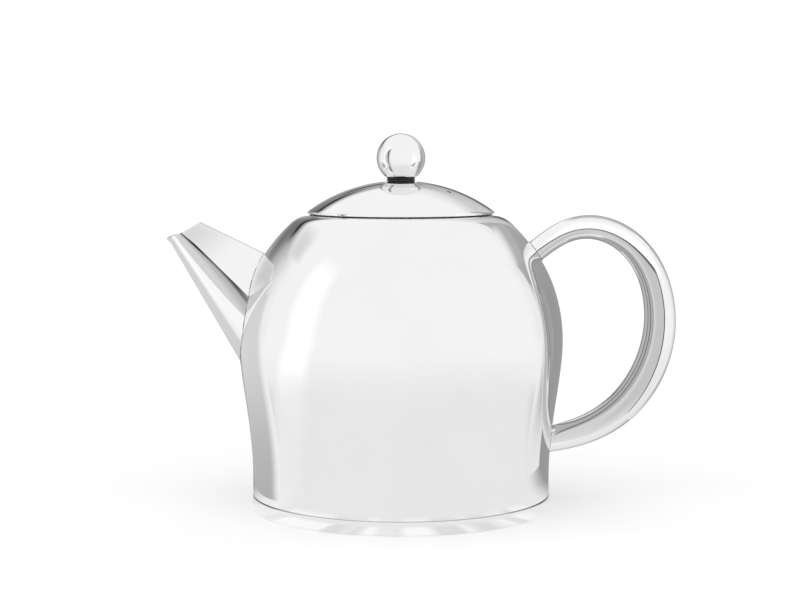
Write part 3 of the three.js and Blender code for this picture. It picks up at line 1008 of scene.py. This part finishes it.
def table_sheet(name):
    """A level sheet that reaches far round the pot."""
    half, z = TABLE_HALF, TABLE_Z
    return sheet(name, [(-half, -half, z), (half, -half, z), (half, half, z), (-half, half, z)])


def only_reflected(piece):
    """Makes a piece of the studio show in the steel and nowhere else."""
    piece.visible_camera = False
    piece.visible_diffuse = False
    piece.visible_transmission = False
    piece.visible_volume_scatter = False
    piece.visible_shadow = False


def floor():
    """The plain pale floor, which shows everywhere but in the steel."""
    plane = table_sheet("floor")
    plane.visible_glossy = False
    material, graph = new_material("pale_floor")
    graph.principled({
        "Base Color": (0.9, 0.9, 0.9, 1.0),
        "Roughness": 0.9,
        "Emission Color": (1.0, 1.0, 1.0, 1.0),
        "Emission Strength": 0.16,
    })
    plane.data.materials.append(material)


def table():
    """The table as the steel sees it, in place of the floor."""
    plane = table_sheet("table_in_the_steel")
    only_reflected(plane)
    material, graph = new_material("table_in_the_steel")
    place = graph.place_in_mm()
    reach = graph.add("ShaderNodeVectorMath", {0: place}, operation="LENGTH").outputs["Value"]
    depth = graph.parts(place)[1]

    # The level changes evenly with the angle at which the pot sees the table.
    (near, near_level), (far, far_level) = TABLE_NEAR, TABLE_FAR
    closeness = graph.math("DIVIDE", 1.0, reach)
    level = graph.ramp(closeness, 1 / far, 1 / near, far_level, near_level)
    shade = graph.product(graph.ramp(depth, -10, 50), graph.ramp(reach, 280, 120))
    level = graph.blend(shade, level, TABLE_SHADE)

    # The soft box's light on the table fades towards the pot.
    soft_box = {"round": (-75, 12, 5), "level": graph.ramp(reach, 160, 360, 0.97, 1.18)}
    level = zone_level(graph, place, level, TABLE_ZONES + [soft_box])

    # Uneven light close to the pot, which only the foot's band shows.
    way = graph.add("ShaderNodeVectorMath", {0: place}, operation="NORMALIZE").outputs[0]
    uneven = graph.ramp(graph.noise(way, 4.0, 1.0), 0.4, 0.6, 0.84, 1.1)
    close = graph.product(graph.ramp(reach, 92, 76), graph.ramp(depth, -15, -40))
    level = graph.blend(close, level, uneven)
    graph.surface(graph.add("ShaderNodeEmission", {"Strength": level}))
    plane.data.materials.append(material)


# ---------------------------------------------------------------- cards


# Cards stand close to the pot and show only in the steel. Their places are in mm. A one-sided card lets
# light through from behind, and one that stands at CARD_Y and faces +Y isn't seen in the front of the
# body, so it draws bands on the spout or the handle alone.
CARD_Y = -43.5
TOP_CARD_Z = 150


class Card(Graph):
    """The graph of a card, with its place along X, Y and Z. It is finished by light."""

    def __init__(self, name, corners, faces=((0, 1, 2, 3),), one_sided=True):
        piece = sheet(name, corners, faces)
        only_reflected(piece)
        material = bpy.data.materials.new(name)
        piece.data.materials.append(material)
        super().__init__(material)
        self.x, self.y, self.z = self.parts(self.place_in_mm())
        self.one_sided = one_sided

    def light(self, level, seen=1.0):
        """Gives the card its brightness; it fades away where seen falls to 0."""
        glow = self.add("ShaderNodeEmission", {"Strength": level}).outputs[0]
        clear = self.add("ShaderNodeBsdfTransparent").outputs[0]
        if self.one_sided:
            behind = self.add("ShaderNodeNewGeometry").outputs["Backfacing"]
            seen = self.product(seen, self.math("SUBTRACT", 1.0, behind))
        self.surface(self.add("ShaderNodeMixShader", {0: seen, 1: clear, 2: glow}))


def upright(left, right, low, high, y=CARD_Y):
    """Corners of an upright card that faces +Y."""
    return [(right, y, low), (left, y, low), (left, y, high), (right, y, high)]


def overhead(left, right, front, back):
    """Corners of a level card over the pot that faces down."""
    z = TOP_CARD_Z
    return [(right, front, z), (left, front, z), (left, back, z), (right, back, z)]


def handle_front_card():
    """Grey, with dark borders that draw the lines between the handle's bands."""
    right, top = 134, 112
    border_start, border_full = 9, 4
    card = Card("handle_front_card", upright(52, right, 0, top))
    level = card.ramp(card.x, 74, 90, 0.74, 0.64)
    level = card.blend(card.ramp(card.z, 45, 10), level, 0.8)
    for value, edge in ((card.x, right), (card.z, top)):
        level = card.blend(card.ramp(value, edge - border_start, edge - border_full), level, 0.12)
    card.light(level)


def handle_sky_card():
    """The brightest band along the handle's upper side."""
    low, high = 112, 205
    card = Card("handle_sky_card", upright(52, 200, low, high))
    card.light(card.ramp(card.z, 125, high, 1.18, TENT_LEVEL))


def handle_top_card():
    """Shades the handle's upper edge."""
    card = Card("handle_top_card", overhead(58, 134, -14, 44))
    seen = card.product(card.stripe(card.x, 96, 31, 7), card.stripe(card.y, 16, 22, 6))
    card.light(card.ramp(card.y, -9, 18, TENT_LEVEL, 0.5), seen)


def handle_back_card():
    """Darkens the handle's outline."""
    top = 200
    card = Card("handle_back_card", upright(70, 190, 0, top, 42)[::-1])
    card.light(card.ramp(card.z, 90, top, 0.35, 0.5))


def handle_side_card():
    """Shades the handle's outer side and the body's right side, and fades towards the table."""
    x, front, back, top = 128, -6, 60, 125
    card = Card("handle_side_card", [(x, front, top), (x, back, top), (x, back, 0), (x, front, 0)])
    level = card.ramp(card.y, -5, 18, 1.0, 0.40)
    card.light(card.blend(card.ramp(card.z, 45, 0), level, 0.9))


def handle_inner_card():
    """Stands just off the body, as seen from the handle, and draws the dark lines of its inner side."""
    off, top = 1.5, 112
    angles = [math.radians(-62 + 4 * k) for k in range(28)]
    wall = [(r + off, z) for r, z in OUTER_WALL[::3] if z < top]
    points = [(r * math.cos(a), r * math.sin(a), z) for r, z in wall for a in angles]
    count = len(angles)
    faces = [
        (i * count + k, i * count + k + 1, (i + 1) * count + k + 1, (i + 1) * count + k)
        for i in range(len(wall) - 1)
        for k in range(count - 1)
    ]
    card = Card("handle_inner_card", points, faces)
    level = card.ramp(card.y, -20, 30, 0.48, 0.54)
    for middle, half in ((-41, 4), (-13, 2.5), (5, 2.5)):
        level = card.blend(card.stripe(card.y, middle, half, 1.5), level, 0.16)
    card.light(level)


def spout_front_card():
    """Shades the spout's lower side: dark along the fold, grey below it, then a bright band."""
    card = Card("spout_front_card", upright(-190, -50, 0, 205))
    from_fold = card.math("MULTIPLY_ADD", card.z, 0.19, card.x)
    level = card.ramp(from_fold, -45, -53, 0.02, 0.55)
    level = card.blend(card.ramp(from_fold, -53, -72), level, 0.76)
    level = card.blend(card.ramp(card.x, -70, -60), level, 0.7)
    below = card.math("MULTIPLY_ADD", card.x, 0.375, card.z)
    card.light(card.blend(card.ramp(below, 54, 51), level, 1.08))


def spout_left_card():
    """Shades the keel. Its front edge leans back as it rises, and fades into the tent."""
    low_x, high_x, back, top = -86, -135, 90, 116
    low_front, high_front = -30, -5
    corners = [(low_x, low_front, 0), (low_x, back, 0), (high_x, back, top), (high_x, high_front, top)]
    card = Card("spout_left_card", corners, one_sided=False)
    lean = (high_front - low_front) / top
    behind_edge = card.math("MULTIPLY_ADD", card.z, -lean, card.y)
    level = card.ramp(card.z, 0, 60, 0.5, 0.74)
    card.light(card.blend(card.ramp(behind_edge, -14, -29), level, 1.0))


def spout_top_card():
    """Shades the spout's upper facet towards the lip."""
    card = Card("spout_top_card", overhead(-106, -44, -26, 10))
    seen = card.product(card.stripe(card.x, -75, 27, 9), card.stripe(card.y, -8, 14, 9))
    card.light(card.ramp(card.x, -76, -50, 0.78, TENT_LEVEL), seen)


def table_edge(start, end):
    """A thin dark edge of the table behind the pot, that widens with its distance."""
    start, end = Vector(start), Vector(end)
    side = (end - start).orthogonal().normalized()
    near, far, z = side * 9, side * 30, 0.3
    outline = [start - near, start + near, end + far, end - far]
    card = Card("table_edge", [(*corner, z) for corner in outline], one_sided=False)
    card.light(0.08)


# ---------------------------------------------------------------- camera


CAMERA_PLACE = (-0.0004, -0.79, 0.1608)
CAMERA_DOWN = 5.23  # degrees below level
FOCAL_LENGTH = 83.61
SENSOR_WIDTH = 36.0


def camera():
    data = bpy.data.cameras.new("camera")
    data.lens = FOCAL_LENGTH
    data.sensor_width = SENSOR_WIDTH
    data.clip_start = 0.01
    data.clip_end = 50.0
    view = bpy.data.objects.new("camera", data)
    view.location = CAMERA_PLACE
    view.rotation_euler = (math.radians(90 - CAMERA_DOWN), 0, 0)
    bpy.context.scene.collection.objects.link(view)
    bpy.context.scene.camera = view


camera()
tent()
floor()
table()
handle_front_card()
handle_sky_card()
handle_top_card()
handle_back_card()
handle_side_card()
handle_inner_card()
spout_front_card()
spout_left_card()
spout_top_card()
table_edge((540, 438), (1500, 1929))
table_edge((-480, 398), (-2150, 1839))
outer_shell()
base_cap()
inner_vessel()
spout_duct()
spout()
handle()
infuser_rim()
infuser_wall()
infuser_cap()
lid_dome()
lid_ring()
knob()
knob_washer()
screw()
steel_washer()
